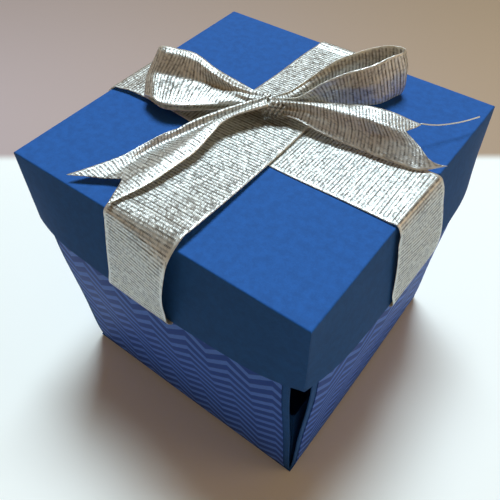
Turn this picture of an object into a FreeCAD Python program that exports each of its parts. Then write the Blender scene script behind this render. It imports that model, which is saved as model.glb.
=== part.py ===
"""Explosion box: a folded card box whose four loose walls are held up by a ribboned lid.

Units are millimetres, +Z is up, the box stands on z = 0 and is centred on the Z axis.
The front wall faces -Y and the right wall faces +X.
"""
import FreeCAD, Part
import math
import os
import Sketcher

doc = FreeCAD.newDocument("ExplosionBox")
V = FreeCAD.Vector
Z_AXIS = V(0, 0, 1)
FLAT = 1e-4

# ---------------------------------------------------------------- driving sizes

SIZES = [
    ("card", 0.4, "thickness of the plain card"),
    ("paper", 0.2, "thickness of the patterned paper"),
    ("glue_gap", 0.1, "glue line between a paper and the card behind it"),
    ("fit_gap", 0.4, "free room between the lid and what stands inside it"),
    ("seat_gap", 0.3, "room between the tops of the walls and the lid"),
    ("box_side", 97, "side of the square floor"),
    ("box_tall", 99.3, "height of the standing walls"),
    ("corner_cut", 0.1, "width of the cut between two walls at the floor"),
    ("foot_bow", 0.4, "bow of a wall along its fold and along its top"),
    ("waist_out", 4.1, "lean of a wall halfway up to the rim"),
    ("waist_bow", 2.0, "bow of a wall halfway up to the rim"),
    ("belt_bow", 2.9, "bow of a wall just under the rim"),
    ("tuck_bow", 2.3, "bow of a wall behind the tucked ribbon"),
    ("neck_bow", 1.6, "bow of a wall halfway up inside the lid"),
    ("belt_drop", 5, "how far below the rim a wall is widest"),
    ("lid_room", 8, "how much wider the lid is than the floor"),
    ("lid_deep", 28, "depth of the lid"),
    ("lid_swell", 4.6, "how far the middle of the rim is pushed out"),
    ("shoulder_swell", 3.7, "how far the rim is pushed out where its shoulder starts"),
    ("shoulder_run", 19.5, "length of the shoulder from the corner"),
    ("lid_fold", 0.5, "outer radius of the folds round the top of the lid"),
    ("tab_wide", 12, "width of a corner tab of the lid"),
    ("tab_ease", 1, "distance of a tab from the fold and from the rim"),
    ("seam_wide", 0.12, "width of the seam beside a corner of the lid"),
    ("seam_deep", 0.3, "depth of the seam beside a corner of the lid"),
    ("panel_side_margin", 2.2, "card left bare beside an outer panel"),
    ("panel_foot_margin", 1.5, "card left bare under an outer panel"),
    ("panel_top_margin", 3, "card left bare above an outer panel"),
    ("mat_margin", 6, "card left bare round an inner mat"),
    ("inner_room", 2.4, "how much narrower the inner layer is than the floor"),
    ("inner_tall", 41, "height of the inner layer"),
    ("floor_margin", 4, "card left bare round the floor mat"),
    ("ribbon_wide", 25, "width of the ribbon"),
    ("ribbon_thick", 0.4, "thickness of the ribbon"),
    ("ribbon_gap", 0.1, "room between the ribbon and what it lies on"),
    ("tuck_gap", 0.25, "room between the lid's curved wall and the ribbon tucked behind it"),
    ("ribbon_tuck", 6, "length of ribbon turned in behind the rim"),
    ("ribbon_shift", 1, "distance of the crossing from the middle of the lid"),
    ("knot_long", 15, "length of the knot"),
    ("knot_wide", 9, "width of the knot"),
    ("knot_tall", 6.5, "height of the knot"),
    ("flat_loop_long", 36, "reach of the lying loop from the middle of the knot"),
    ("flat_loop_tall", 9, "height of the lying loop"),
    ("flat_loop_wide", 21, "width of the lying loop across"),
    ("standing_loop_long", 37, "reach of the standing loop from the middle of the knot"),
    ("standing_loop_wide", 9, "width of the standing loop across"),
    ("standing_loop_tall", 20, "height of the standing loop"),
]

sheet = doc.addObject("Spreadsheet::Sheet", "Sizes")
for row, (alias, value, note) in enumerate(SIZES, start=1):
    sheet.set("A%d" % row, alias)
    sheet.set("B%d" % row, str(value))
    sheet.set("C%d" % row, note)
    sheet.setAlias("B%d" % row, alias)
doc.recompute()


def size(formula):
    """Put the sheet's name before each alias of a formula."""
    words = []
    for word in formula.split():
        bare = word.strip("()")
        known = any(bare == alias for alias, _, _ in SIZES)
        words.append(word.replace(bare, "Sizes." + bare) if known else word)
    return "(" + " ".join(words) + ")"


def number(expression):
    """The present value of an expression."""
    result = sheet.evalExpression(expression)
    return float(getattr(result, "Value", result))


# Places that several pieces share, each worked out from the sheet.
BOX_HALF = size("box_side / 2")
WALL_HALF = size("box_side / 2 - card - corner_cut")
LID_HALF = size("(box_side + lid_room) / 2")
LID_TOP = size("box_tall + seat_gap + card")
LID_RIM = size("box_tall + seat_gap + card - lid_deep")
PAPER_SKIN = size("glue_gap + paper")
TUCK_STACK = size("tuck_gap + ribbon_thick + fit_gap + glue_gap + paper")


# ---------------------------------------------------------------- sketch helpers

def new_body(label, turn=0):
    body = doc.addObject("PartDesign::Body", label)
    body.Label = label
    body.Placement = FreeCAD.Placement(V(), FreeCAD.Rotation(Z_AXIS, turn))
    return body


def origin_plane(body, role):
    return next(part for part in body.Origin.OriginFeatures if part.Role == role)


def new_sketch(body, name, role="XY_Plane", away="0", turn=0):
    """A sketch on one of the body's own planes, moved away from it and turned in it."""
    sketch = body.newObject("Sketcher::SketchObject", body.Label + "_" + name)
    sketch.AttachmentSupport = (origin_plane(body, role), [""])
    sketch.MapMode = "FlatFace"
    sketch.AttachmentOffset = FreeCAD.Placement(V(), FreeCAD.Rotation(Z_AXIS, turn))
    sketch.setExpression("AttachmentOffset.Base.z", away)
    return sketch


def bind(sketch, kind, *where_and_size):
    """Add a dimension whose size is the expression given last."""
    *where, expression = where_and_size
    index = sketch.addConstraint(Sketcher.Constraint(kind, *where, number(expression)))
    sketch.setExpression("Constraints[%d]" % index, expression)


def line(sketch, start, end):
    return sketch.addGeometry(Part.LineSegment(V(*start, 0), V(*end, 0)), False)


def rectangle(sketch, left, right, low, high):
    """A rectangle whose four sides stand at four expressions."""
    x0, x1, y0, y1 = (number(edge) for edge in (left, right, low, high))
    corners = [(x0, y0), (x1, y0), (x1, y1), (x0, y1)]
    ids = [line(sketch, corners[i], corners[(i + 1) % 4]) for i in range(4)]
    for i in range(4):
        sketch.addConstraint(Sketcher.Constraint("Coincident", ids[i], 2, ids[(i + 1) % 4], 1))
    for i in (0, 2):
        sketch.addConstraint(Sketcher.Constraint("Horizontal", ids[i]))
        sketch.addConstraint(Sketcher.Constraint("Vertical", ids[i + 1]))
    bind(sketch, "DistanceX", -1, 1, ids[0], 1, left)
    bind(sketch, "DistanceX", -1, 1, ids[0], 2, right)
    bind(sketch, "DistanceY", -1, 1, ids[0], 1, low)
    bind(sketch, "DistanceY", -1, 1, ids[2], 1, high)


def outline(sketch, points):
    """A closed outline of straight lines; each point is a pair of expressions."""
    spots = [(number(x), number(y)) for x, y in points]
    count = len(spots)
    ids = [line(sketch, spots[i], spots[(i + 1) % count]) for i in range(count)]
    for i in range(count):
        after = ids[(i + 1) % count]
        sketch.addConstraint(Sketcher.Constraint("Coincident", ids[i], 2, after, 1))
    for i, (x, y) in enumerate(points):
        bind(sketch, "DistanceX", -1, 1, ids[i], 1, x)
        bind(sketch, "DistanceY", -1, 1, ids[i], 1, y)


def pad(body, sketch, length, both_ways=False):
    feature = body.newObject("PartDesign::Pad", sketch.Label + "_pad")
    feature.Profile = sketch
    feature.setExpression("Length", length)
    feature.Midplane = both_ways
    return feature


def loft(body, sketches):
    feature = body.newObject("PartDesign::AdditiveLoft", body.Label + "_loft")
    feature.Profile = sketches[0]
    feature.Sections = sketches[1:]
    return feature


def repeat(body, feature, times):
    """Repeat a feature round the Z axis."""
    pattern = body.newObject("PartDesign::PolarPattern", body.Label + "_repeat")
    pattern.Originals = [feature]
    pattern.Axis = (origin_plane(body, "Z_Axis"), [""])
    pattern.Angle = 360
    pattern.Occurrences = times
    body.Tip = pattern


def cut_across(body, name, left, right, low, high):
    """Cut a rectangle, seen from the front, right through a body."""
    sketch = new_sketch(body, name, role="XZ_Plane")
    rectangle(sketch, left, right, low, high)
    cut = body.newObject("PartDesign::Pocket", sketch.Label + "_cut")
    cut.Profile = sketch
    cut.Type = "ThroughAll"
    cut.Midplane = True


def edges_of(feature):
    shape = feature.Shape
    return [("Edge%d" % (i + 1), edge) for i, edge in enumerate(shape.Edges)]


# ---------------------------------------------------------------- walls that lean and bow

def lean_inside_lid(height):
    """How far a wall leans out at a height where the ribboned lid's wall is close to it."""
    lid_wall = "%s + %s * (%s - %s) / %s" % (
        LID_HALF, size("lid_swell"), LID_TOP, height, size("lid_deep"))
    return "(%s - %s - %s - %s)" % (lid_wall, size("card"), TUCK_STACK, BOX_HALF)


TUCK_END = "(%s + %s)" % (LID_RIM, size("ribbon_tuck"))
NECK = "(%s + %s)" % (LID_RIM, size("lid_deep / 2"))

# Each level of a wall: name, height, lean of its middle, bow of its middle past its edges.
LEVELS = [
    ("foot", "0", "0", size("foot_bow")),
    ("waist", "(%s / 2)" % LID_RIM, size("waist_out"), size("waist_bow")),
    ("belt", "(%s - %s)" % (LID_RIM, size("belt_drop")), lean_inside_lid(LID_RIM),
     size("belt_bow")),
    ("tuck", TUCK_END, lean_inside_lid(TUCK_END), size("tuck_bow")),
    ("neck", NECK, lean_inside_lid(NECK), size("neck_bow")),
    ("crown", size("box_tall"), size("lid_room / 2 - 2 * card - fit_gap"), size("foot_bow")),
]


def wall_section(body, level, half, skin, thick):
    """The bowed cross-section of a sheet that follows the front wall at one level."""
    name, height, lean, bow = level
    sketch = new_sketch(body, name, away=height)
    radius = "((%s ^ 2 + %s ^ 2) / (2 * %s))" % (WALL_HALF, bow, bow)
    outer = "(%s + %s)" % (radius, skin)
    inner = "(%s - %s)" % (outer, thick)
    centre = "(%s - %s - %s)" % (radius, BOX_HALF, lean)
    arcs = []
    for arc_radius in (outer, inner):
        spread = math.asin(number(half) / number(arc_radius))
        circle = Part.Circle(V(0, number(centre), 0), Z_AXIS, number(arc_radius))
        down = -math.pi / 2
        arc = sketch.addGeometry(Part.ArcOfCircle(circle, down - spread, down + spread), False)
        sketch.addConstraint(Sketcher.Constraint("PointOnObject", arc, 3, -2))
        bind(sketch, "DistanceY", -1, 1, arc, 3, centre)
        bind(sketch, "Radius", arc, arc_radius)
        bind(sketch, "DistanceX", arc, 1, -1, 1, half)
        bind(sketch, "DistanceX", -1, 1, arc, 2, half)
        arcs.append((arc, sketch.Geometry[arc]))
    (outer_arc, outer_curve), (inner_arc, inner_curve) = arcs
    for end, outer_spot, inner_spot in (
            (1, outer_curve.StartPoint, inner_curve.StartPoint),
            (2, outer_curve.EndPoint, inner_curve.EndPoint)):
        side = sketch.addGeometry(Part.LineSegment(outer_spot, inner_spot), False)
        sketch.addConstraint(Sketcher.Constraint("Coincident", side, 1, outer_arc, end))
        sketch.addConstraint(Sketcher.Constraint("Coincident", side, 2, inner_arc, end))
    return sketch


def wall_sheet(body, half, skin, thick):
    """A thin sheet that follows the front wall over its whole height."""
    sections = [wall_section(body, level, half, skin, thick) for level in LEVELS]
    return loft(body, sections)


def trim_height(body, low, high):
    """Cut off what a wall sheet has below one height and above another."""
    reach = size("box_side")
    cut_across(body, "under", "0 - " + reach, reach, "0 - " + reach, low)
    cut_across(body, "over", "0 - " + reach, reach, high, "2 * " + LID_TOP)


# ---------------------------------------------------------------- the outer layer

def make_outer_sheet():
    """One cross of card: the floor and four walls that are joined only by the floor."""
    body = new_body("base_sheet")
    floor = new_sketch(body, "floor")
    rectangle(floor, "0 - " + BOX_HALF, BOX_HALF, "0 - " + BOX_HALF, BOX_HALF)
    pad(body, floor, size("card"))
    wall = wall_sheet(body, WALL_HALF, "0", size("card"))
    repeat(body, wall, 4)
    return body


SIDES = [("front", 0), ("right", 90), ("back", 180), ("left", 270)]


def make_outer_panel(side, turn):
    """Zigzag paper glued on the outside of one wall."""
    body = new_body("panel_" + side, turn)
    half = "(%s - %s)" % (WALL_HALF, size("panel_side_margin"))
    wall_sheet(body, half, PAPER_SKIN, size("paper"))
    trim_height(body, size("panel_foot_margin"), size("box_tall - panel_top_margin"))
    return body


def make_inner_mat(side, turn):
    """Plain paper glued on the inside of one wall."""
    body = new_body("mat_" + side, turn)
    half = "(%s - %s)" % (WALL_HALF, size("mat_margin"))
    wall_sheet(body, half, size("0 - card - glue_gap"), size("paper"))
    trim_height(body, size("mat_margin"), size("box_tall - mat_margin"))
    return body


# ---------------------------------------------------------------- the inner layer

def make_inner_sheet():
    """A lower cross of card, glued floor on floor inside the outer one."""
    body = new_body("inner_sheet")
    half = size("(box_side - inner_room) / 2")
    wall_half = "(%s - %s)" % (half, size("card + corner_cut"))
    floor = new_sketch(body, "floor", away=size("card"))
    rectangle(floor, "0 - " + half, half, "0 - " + half, half)
    pad(body, floor, size("card"))
    wall = new_sketch(body, "wall", away=size("card"))
    rectangle(wall, "0 - " + wall_half, wall_half, "0 - " + half,
              "%s - %s" % (size("card"), half))
    repeat(body, pad(body, wall, size("inner_tall")), 4)
    return body


def make_floor_mat():
    """Plain paper glued on the floor of the inner layer."""
    mat = doc.addObject("Part::Box", "floor_mat")
    mat.Label = "floor_mat"
    side = size("box_side - inner_room - 2 * floor_margin")
    mat.setExpression("Length", side)
    mat.setExpression("Width", side)
    mat.setExpression("Height", size("paper"))
    mat.setExpression("Placement.Base.x", "0 - %s / 2" % side)
    mat.setExpression("Placement.Base.y", "0 - %s / 2" % side)
    mat.setExpression("Placement.Base.z", size("2 * card + glue_gap"))
    return mat


# ---------------------------------------------------------------- the lid

BEND = "(%s - %s)" % (LID_HALF, size("shoulder_run"))


def swelled_edge(sketch, half, inset):
    """The rim's edge along the front: a shoulder, a flatter middle and a shoulder.

    Returns the numbers of the first and the last arc.
    """
    rise = size("lid_swell - shoulder_swell")
    radius = "((%s ^ 2 + %s ^ 2) / (2 * %s))" % (BEND, rise, rise)
    middle = "(%s - %s - %s)" % (inset, LID_HALF, size("lid_swell"))
    bend, low, mid = number(BEND), number(middle) + number(rise), number(middle)
    corner = number(half)
    halfway = V((corner + bend) / 2, (low - corner) / 2 - number(rise), 0)
    ends = [V(-corner, -corner, 0), V(-bend, low, 0), V(bend, low, 0), V(corner, -corner, 0)]
    middles = [V(-halfway.x, halfway.y, 0), V(0, mid, 0), halfway]
    arcs = [sketch.addGeometry(Part.Arc(ends[i], middles[i], ends[i + 1]), False)
            for i in range(3)]
    left, main, right = arcs
    sketch.addConstraint(Sketcher.Constraint("Tangent", left, 2, main, 1))
    sketch.addConstraint(Sketcher.Constraint("Tangent", main, 2, right, 1))
    sketch.addConstraint(Sketcher.Constraint("PointOnObject", main, 3, -2))
    bind(sketch, "Radius", main, radius)
    bind(sketch, "DistanceY", -1, 1, main, 3, "(%s + %s)" % (radius, middle))
    bind(sketch, "DistanceX", main, 1, -1, 1, BEND)
    bind(sketch, "DistanceX", -1, 1, main, 2, BEND)
    bind(sketch, "DistanceX", left, 1, -1, 1, half)
    bind(sketch, "DistanceX", -1, 1, right, 2, half)
    bind(sketch, "DistanceY", left, 1, -1, 1, half)
    bind(sketch, "DistanceY", right, 2, -1, 1, half)
    return left, right


def rim_section(body, inset):
    """A layer of the lid's front wall at its rim, mitred to its neighbours."""
    sketch = new_sketch(body, "rim", away=LID_RIM)
    deeper = "(%s + %s)" % (inset, size("card"))
    outer = swelled_edge(sketch, "(%s - %s)" % (LID_HALF, inset), inset)
    inner = swelled_edge(sketch, "(%s - %s)" % (LID_HALF, deeper), deeper)
    for end, arc_out, arc_in in ((1, outer[0], inner[0]), (2, outer[1], inner[1])):
        spots = [sketch.getPoint(arc, end) for arc in (arc_out, arc_in)]
        mitre = line(sketch, (spots[0].x, spots[0].y), (spots[1].x, spots[1].y))
        sketch.addConstraint(Sketcher.Constraint("Coincident", mitre, 1, arc_out, end))
        sketch.addConstraint(Sketcher.Constraint("Coincident", mitre, 2, arc_in, end))
    return sketch


def top_section(body, inset):
    """The same layer at the top of the lid, where it is straight."""
    sketch = new_sketch(body, "top", away=LID_TOP)
    far = "(%s - %s)" % (LID_HALF, inset)
    near = "(%s - %s)" % (far, size("card"))
    outer = [("0 - " + far, "0 - " + far), ("0 - " + BEND, "0 - " + far),
             (BEND, "0 - " + far), (far, "0 - " + far)]
    inner = [(near, "0 - " + near), (BEND, "0 - " + near),
             ("0 - " + BEND, "0 - " + near), ("0 - " + near, "0 - " + near)]
    outline(sketch, outer + inner)
    return sketch


def lid_wall(body, inset):
    return loft(body, [rim_section(body, inset), top_section(body, inset)])


def make_lid_tabs():
    """The four tabs, which lie against the inside of the front and the back wall."""
    body = new_body("lid_tabs")
    repeat(body, lid_wall(body, size("card")), 2)
    between = "(%s - %s)" % (LID_HALF, size("tab_wide"))
    below = "(%s + %s)" % (LID_RIM, size("tab_ease"))
    above = "(%s - %s)" % (LID_TOP, size("tab_ease"))
    cut_across(body, "between", "0 - " + between, between, "0", "2 * " + LID_TOP)
    cut_across(body, "below", "0 - " + LID_HALF, LID_HALF, "0", below)
    cut_across(body, "above", "0 - " + LID_HALF, LID_HALF, above, "2 * " + LID_TOP)
    return body


def cut_seams(body):
    """The cut end of the front or back wall shows as a seam beside each corner."""
    sketch = new_sketch(body, "seams", away=LID_RIM)
    depth = "(%s - %s)" % (LID_HALF, size("seam_deep"))
    outside = "(%s + %s)" % (LID_HALF, size("card"))
    near = "(%s - %s)" % (LID_HALF, size("card + seam_wide / 2"))
    far = "(%s + %s)" % (near, size("seam_wide"))
    for left, right in ((depth, outside), ("0 - " + outside, "0 - " + depth)):
        for low, high in ((near, far), ("0 - " + far, "0 - " + near)):
            rectangle(sketch, left, right, low, high)
    seams = body.newObject("PartDesign::Pocket", "seams_cut")
    seams.Profile = sketch
    seams.Reversed = True
    seams.setExpression("Length", size("lid_deep - tab_ease"))
    return seams


def make_lid():
    """One sheet of card: the top, four walls, and four tabs glued behind the corners."""
    body = new_body("lid_sheet")
    repeat(body, lid_wall(body, "0"), 4)
    top = new_sketch(body, "cover", away="(%s - %s)" % (LID_TOP, size("card")))
    rectangle(top, "0 - " + LID_HALF, LID_HALF, "0 - " + LID_HALF, LID_HALF)
    cover = pad(body, top, size("card"))
    doc.recompute()
    folds = [name for name, edge in edges_of(cover)
             if all(abs(vertex.Point.z - number(LID_TOP)) < FLAT for vertex in edge.Vertexes)]
    fold = body.newObject("PartDesign::Fillet", "lid_fold")
    fold.Base = (cover, folds)
    fold.setExpression("Radius", size("lid_fold"))
    cut_seams(body)
    tabs = body.newObject("PartDesign::Boolean", "lid_with_tabs")
    tabs.Type = "Fuse"
    tabs.addObject(make_lid_tabs())
    body.Tip = tabs
    return body


# ---------------------------------------------------------------- the ribbon

def make_band(label, plane, shift, lift):
    """A ribbon over the lid, down both walls, round the rim and a little way up inside."""
    body = new_body(label)
    sketch = new_sketch(body, "path", role=plane, away=shift)
    gap, thick = size("ribbon_gap"), size("ribbon_thick")
    top = "(%s + %s)" % (LID_TOP, lift)
    side = "(%s + %s)" % (LID_HALF, gap)
    rim_side = "(%s + %s + %s)" % (LID_HALF, size("lid_swell"), gap)
    under = "(%s - %s)" % (LID_RIM, gap)
    rim_inside = "(%s + %s)" % (LID_HALF, size("lid_swell - card - tuck_gap"))
    tucked = "(%s - %s)" % (rim_inside, size("lid_swell * ribbon_tuck / lid_deep"))
    near_side = [
        (side, top),
        (rim_side, under),
        (rim_inside, under),
        (tucked, TUCK_END),
        ("(%s - %s)" % (tucked, thick), TUCK_END),
        ("(%s - %s)" % (rim_inside, thick), "(%s - %s)" % (under, thick)),
        ("(%s + %s)" % (rim_side, thick), "(%s - %s)" % (under, thick)),
        ("(%s + %s)" % (side, thick), "(%s + %s)" % (top, thick)),
    ]
    far_side = [("0 - " + across, height) for across, height in reversed(near_side)]
    outline(sketch, near_side + far_side)
    pad(body, sketch, size("ribbon_wide"), both_ways=True)
    return body


BAND_TOP = "(%s + %s)" % (LID_TOP, size("2 * ribbon_gap + 2 * ribbon_thick"))
BOW_FOOT = "(%s + %s)" % (BAND_TOP, size("ribbon_gap"))

# Where the tied ribbon's tails lie, seen from above, as outlines from the knot to the
# notched end and back.
FRONT_TAIL = [(-5, 2), (-15, -15), (-24, -36), (-29.5, -50), (-17, -43), (-13, -52), (-8, -30),
              (-3, -3)]
RIGHT_TAIL = [(4, 3), (23, 20), (39, 28), (38, 20), (52, 13.5), (36, 8.5), (9, 1)]
KNOT_TURN = 45
LYING_LOOP_TURN = 197
STANDING_LOOP_TURN = 48
# A loop's two layers are one over this many thicknesses, beside the knot.
JOINED_RUN = 4


def turn_plane(sketch, turn):
    """Turn an upright sketch about the Z axis."""
    plane = sketch.AttachmentOffset
    sketch.AttachmentOffset = FreeCAD.Placement(plane.Base, FreeCAD.Rotation(V(0, 1, 0), turn))


def loop_ring(sketch, reach, radius, middle):
    """A drop-shaped loop, open inside: a round end, and two straight runs to the knot."""
    centre = "(%s - %s)" % (reach, radius)
    for inset in ("0", size("ribbon_thick")):
        end_radius = "(%s - %s)" % (radius, inset)
        x, y, r = number(centre), number(middle), number(end_radius)
        knot = "(%s * %d)" % (inset, JOINED_RUN)
        circle = Part.Circle(V(x, y, 0), Z_AXIS, r)
        arc = sketch.addGeometry(Part.ArcOfCircle(circle, -math.pi / 2, math.pi / 2), False)
        bind(sketch, "DistanceX", -1, 1, arc, 3, centre)
        bind(sketch, "DistanceY", -1, 1, arc, 3, middle)
        bind(sketch, "Radius", arc, end_radius)
        tip = (number(knot), y)
        over = line(sketch, (x, y + r), tip)
        under = line(sketch, tip, (x, y - r))
        sketch.addConstraint(Sketcher.Constraint("Coincident", over, 2, under, 1))
        sketch.addConstraint(Sketcher.Constraint("Tangent", arc, 2, over, 1))
        sketch.addConstraint(Sketcher.Constraint("Tangent", under, 2, arc, 1))
        bind(sketch, "DistanceX", -1, 1, over, 2, knot)
        bind(sketch, "DistanceY", -1, 1, over, 2, middle)


def make_bow():
    """The tied ribbon: a knot, a lying loop, a standing loop and two tails."""
    body = new_body("ribbon_bow")
    knot = new_sketch(body, "knot", away=BOW_FOOT, turn=KNOT_TURN)
    half_long, half_wide = size("knot_long / 2"), size("knot_wide / 2")
    rectangle(knot, "0 - " + half_long, half_long, "0 - " + half_wide, half_wide)
    pad(body, knot, size("knot_tall"))
    for name, points in (("front_tail", FRONT_TAIL), ("right_tail", RIGHT_TAIL)):
        tail = new_sketch(body, name, away="(%s + %s)" % (BOW_FOOT, size("ribbon_gap")))
        outline(tail, [(str(x), str(y)) for x, y in points])
        pad(body, tail, size("ribbon_thick"))
    lying = new_sketch(body, "lying_loop", role="XZ_Plane")
    turn_plane(lying, LYING_LOOP_TURN)
    loop_ring(lying, size("flat_loop_long"), size("flat_loop_tall / 2"),
              "(%s + %s)" % (BOW_FOOT, size("flat_loop_tall / 2")))
    pad(body, lying, size("flat_loop_wide"), both_ways=True)
    standing = new_sketch(body, "standing_loop", away=BOW_FOOT, turn=STANDING_LOOP_TURN)
    loop_ring(standing, size("standing_loop_long"), size("standing_loop_wide / 2"), "0")
    pad(body, standing, size("standing_loop_tall"))
    return body


# ---------------------------------------------------------------- build, check and write

def make_parts():
    parts = [make_outer_sheet(), make_inner_sheet(), make_floor_mat(), make_lid()]
    for side, turn in SIDES:
        parts.append(make_outer_panel(side, turn))
        parts.append(make_inner_mat(side, turn))
    under = size("ribbon_gap")
    over = size("2 * ribbon_gap + ribbon_thick")
    parts.append(make_band("ribbon_under", "XZ_Plane", size("ribbon_shift"), under))
    parts.append(make_band("ribbon_over", "YZ_Plane", size("0 - ribbon_shift"), over))
    parts.append(make_bow())
    return parts


def check(parts):
    """Stop if anything in the document failed to compute or a part isn't sound."""
    for thing in doc.Objects:
        if "Invalid" in thing.State or "Error" in thing.State:
            raise RuntimeError("%s did not compute: %s" % (thing.Name, thing.State))
    for part in parts:
        if part.Shape.isNull() or not part.Shape.isValid() or not part.Shape.Solids:
            raise RuntimeError("%s has no sound solid" % part.Label)


PARTS = make_parts()
doc.recompute()
check(PARTS)
os.makedirs("parts", exist_ok=True)
for part in PARTS:
    part.Shape.exportStep("parts/%s.step" % part.Label)
    print(part.Label, len(part.Shape.Solids), round(part.Shape.Volume, 1))
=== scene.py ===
"""The looks of a folded gift box.

The box is of blue card with zigzag paper on its walls, and a woven ribbon is tied round its lid.
"""

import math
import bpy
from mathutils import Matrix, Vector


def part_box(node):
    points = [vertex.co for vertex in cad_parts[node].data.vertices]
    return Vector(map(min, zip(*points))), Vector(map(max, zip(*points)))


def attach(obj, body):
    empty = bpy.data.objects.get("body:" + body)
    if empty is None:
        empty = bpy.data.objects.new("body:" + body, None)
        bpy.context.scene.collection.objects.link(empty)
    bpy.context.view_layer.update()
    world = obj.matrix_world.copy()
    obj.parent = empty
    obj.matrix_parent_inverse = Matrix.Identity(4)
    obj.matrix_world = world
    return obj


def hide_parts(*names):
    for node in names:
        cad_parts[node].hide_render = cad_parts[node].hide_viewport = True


bl_info = {
    "name": "Ribboned Card Box",
    "version": (1, 0, 0),
    "blender": (4, 5, 0),
    "location": "View3D > Sidebar > Card Box",
    "description": "Finishes a folded card box, lays and ties its ribbon and sets up the stage",
    "category": "Object",
}

import bmesh
import bpy
import numpy as np
from mathutils import Matrix, Vector

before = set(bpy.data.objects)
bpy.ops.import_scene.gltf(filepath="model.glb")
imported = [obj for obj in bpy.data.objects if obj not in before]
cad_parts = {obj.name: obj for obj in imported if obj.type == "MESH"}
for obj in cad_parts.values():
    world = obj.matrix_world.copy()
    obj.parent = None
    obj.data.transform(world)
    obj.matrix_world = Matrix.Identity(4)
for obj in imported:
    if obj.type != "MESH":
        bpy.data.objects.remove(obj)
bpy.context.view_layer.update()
MM = 0.001
UP = Vector((0, 0, 1))
LID_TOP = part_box("lid_sheet")[1].z


# ------------------------------------------------ sizes and colours


def length(name, description, default):
    """A length, given in millimetres and held in metres."""
    return bpy.props.FloatProperty(
        name=name, description=description, default=default * MM, unit="LENGTH", precision=5
    )


def colour(name, description, default):
    """A colour."""
    return bpy.props.FloatVectorProperty(
        name=name, description=description, default=default, subtype="COLOR", size=3, min=0, max=1
    )


def share(name, description, default, low=0.0, high=1.0):
    """A share of a whole."""
    return bpy.props.FloatProperty(
        name=name, description=description, default=default, subtype="FACTOR", min=low, max=high
    )


def angle(name, description, default):
    """An angle, given in degrees and held in radians."""
    return bpy.props.FloatProperty(
        name=name, description=description, default=math.radians(default), subtype="ANGLE"
    )


def power(name, description, default):
    """The power of a lamp."""
    return bpy.props.FloatProperty(
        name=name, description=description, default=default, unit="POWER"
    )


def millimetres(size):
    """A size in metres as a round number of millimetres."""
    return round(size / MM, 4)


class CardBoxPaper(bpy.types.PropertyGroup):
    """Card and papers of the box."""

    card: colour("Card", "Colour of the plain card", (0.0118, 0.092, 0.352))
    ground: colour("Zigzag ground", "Colour between the zigzag lines", (0.012, 0.068, 0.43))
    stroke: colour("Zigzag line", "Colour of the zigzag lines", (0.092, 0.245, 0.88))
    mat_paper: colour("Mat", "Colour of the plain papers inside", (0.055, 0.17, 0.48))
    zig_wide: length("Zigzag width", "Distance from one peak of a zigzag to the next", 15)
    zig_tall: length("Zigzag height", "Height of a peak over a valley", 5.7)
    zig_pitch: length("Line pitch", "Distance from one line to the line above it", 5.4)
    zig_peak: length("Peak place", "Place of a peak across a wall", 13)
    zig_level: length("Line level", "Height of one line at its peaks", 58.7)
    zig_share: share("Line share", "Share of the pitch that a line covers", 0.44, 0.1, 0.9)


class CardBoxRibbon(bpy.types.PropertyGroup):
    """The woven ribbon."""

    wide: length("Band width", "Width of the bands round the lid", 25)
    bow_wide: length("Bow width", "Width of the ribbon that the bow is tied from", 18.5)
    thick: length("Thickness", "Thickness of the cloth without its ribs", 0.18)
    rib_pitch: length("Rib pitch", "Distance from one cross rib to the next", 1.07)
    rib_height: length("Rib height", "Height of a rib over the gap beside it", 0.1)
    selvedge: length("Selvedge", "Width of the finer edge", 1.2)
    notch: length("Notch", "Usual depth of the notch at the end of a tail", 8)
    thread: colour("Metal thread", "Colour of the metallic thread", (0.92, 0.98, 1.0))
    glint: colour("Warm glint", "Colour of the warmer threads", (0.9, 0.94, 0.92))
    # Painted shade: the dark colour in the gaps between the ribs stands in for their shade and for
    # the dim card seen through the open weave.
    gap: colour("Gap", "Colour seen between two ribs", (0.085, 0.072, 0.053))
    sparkle: share("Sparkle", "How far single threads lean out of the ribbon's surface", 0.14)
    through: share("Light let through", "Share of cloth that glows with light from behind", 0.42)


class CardBoxStage(bpy.types.PropertyGroup):
    """Camera, lamps, floor and backdrop."""

    azimuth: angle("Azimuth", "Turn of the camera round the box", 38.2)
    elevation: angle("Elevation", "Height of the camera as an angle", 49.2)
    roll: angle("Roll", "Tilt of the camera about its own line of sight", -1.21)
    distance: length("Distance", "Distance of the camera from what it aims at", 145)
    lens: bpy.props.FloatProperty(
        name="Lens", description="Focal length on a 36 mm wide sensor", default=41.8,
        subtype="DISTANCE_CAMERA",
    )
    key: power("Key light", "Power of the large lamp", 46)
    key_colour: colour("Key colour", "Colour of the large lamp", (0.82, 0.95, 1.0))
    key_side: angle("Key side", "Turn of the lamp from the far side of the box", -8.4)
    key_high: angle("Key height", "Height of the lamp as an angle", 68.5)
    fill: power("Room lamp", "Power of the weak warm lamp", 6)
    fill_colour: colour("Room lamp colour", "Colour of the weak warm lamp", (1.0, 0.64, 0.34))
    horizon: colour("Room light", "Light from the sides of the room", (0.45, 0.295, 0.175))
    ceiling: colour("Ceiling light", "Colour of the light from above", (0.172, 0.112, 0.063))
    floor: colour("Floor", "Colour of the floor", (0.87, 0.92, 0.935))
    wall_left: colour("Backdrop, left", "Colour of its left side", (0.455, 0.387, 0.41))
    wall_right: colour("Backdrop, right", "Colour of its right side", (0.378, 0.284, 0.193))
    bounce: share("Floor bounce", "Share of the floor's light that reaches the box", 0.48)


# ------------------------------------------------ nodes of a material

FINE_RELIEF = 0.1 * MM  # depth of paper grain and of twisted thread


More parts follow.
